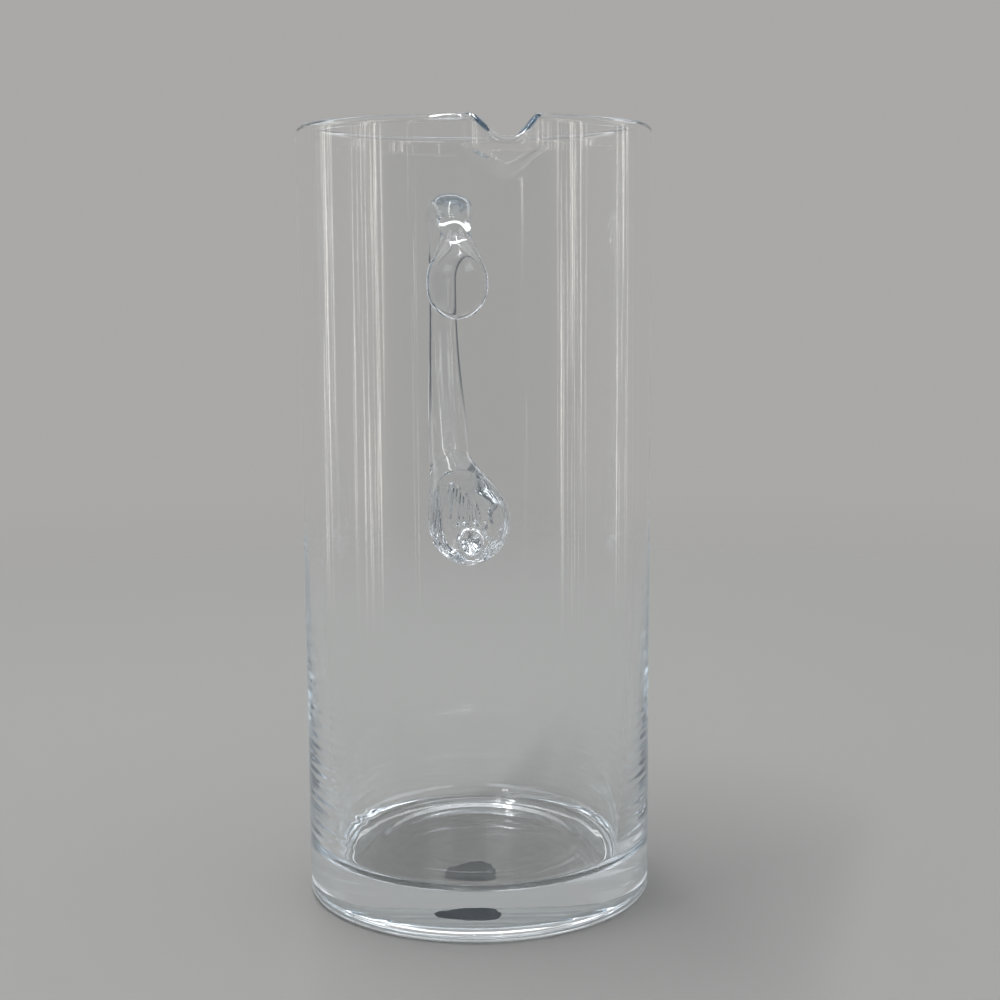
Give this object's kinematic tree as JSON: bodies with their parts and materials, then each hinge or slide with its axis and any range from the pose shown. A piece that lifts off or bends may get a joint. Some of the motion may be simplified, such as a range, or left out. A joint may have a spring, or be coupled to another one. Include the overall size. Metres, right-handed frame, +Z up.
{
  "type": "glass pitcher",
  "caption": "Tall straight hand-blown glass pitcher with a thick base, a small pulled spout at the rim and a drawn loop handle fused to the wall behind it.",
  "frame": {"origin": "middle of the foot ring, on the plane that the pitcher stands on", "axes": "+Z up along the body's axis, -Y towards the spout, +Y towards the handle"},
  "size_m": [0.11, 0.158, 0.243],
  "materials": {
    "body_glass": "clear, fire-polished, faintly blue at thick edges",
    "handle_glass": "clear, fire-polished, drawn by hand",
    "label_paper": "matte, dark, unprinted"
  },
  "bodies": {
    "root": {"glass_body": "body_glass", "handle": "handle_glass", "base_label": "label_paper"}
  },
  "joints": []
}
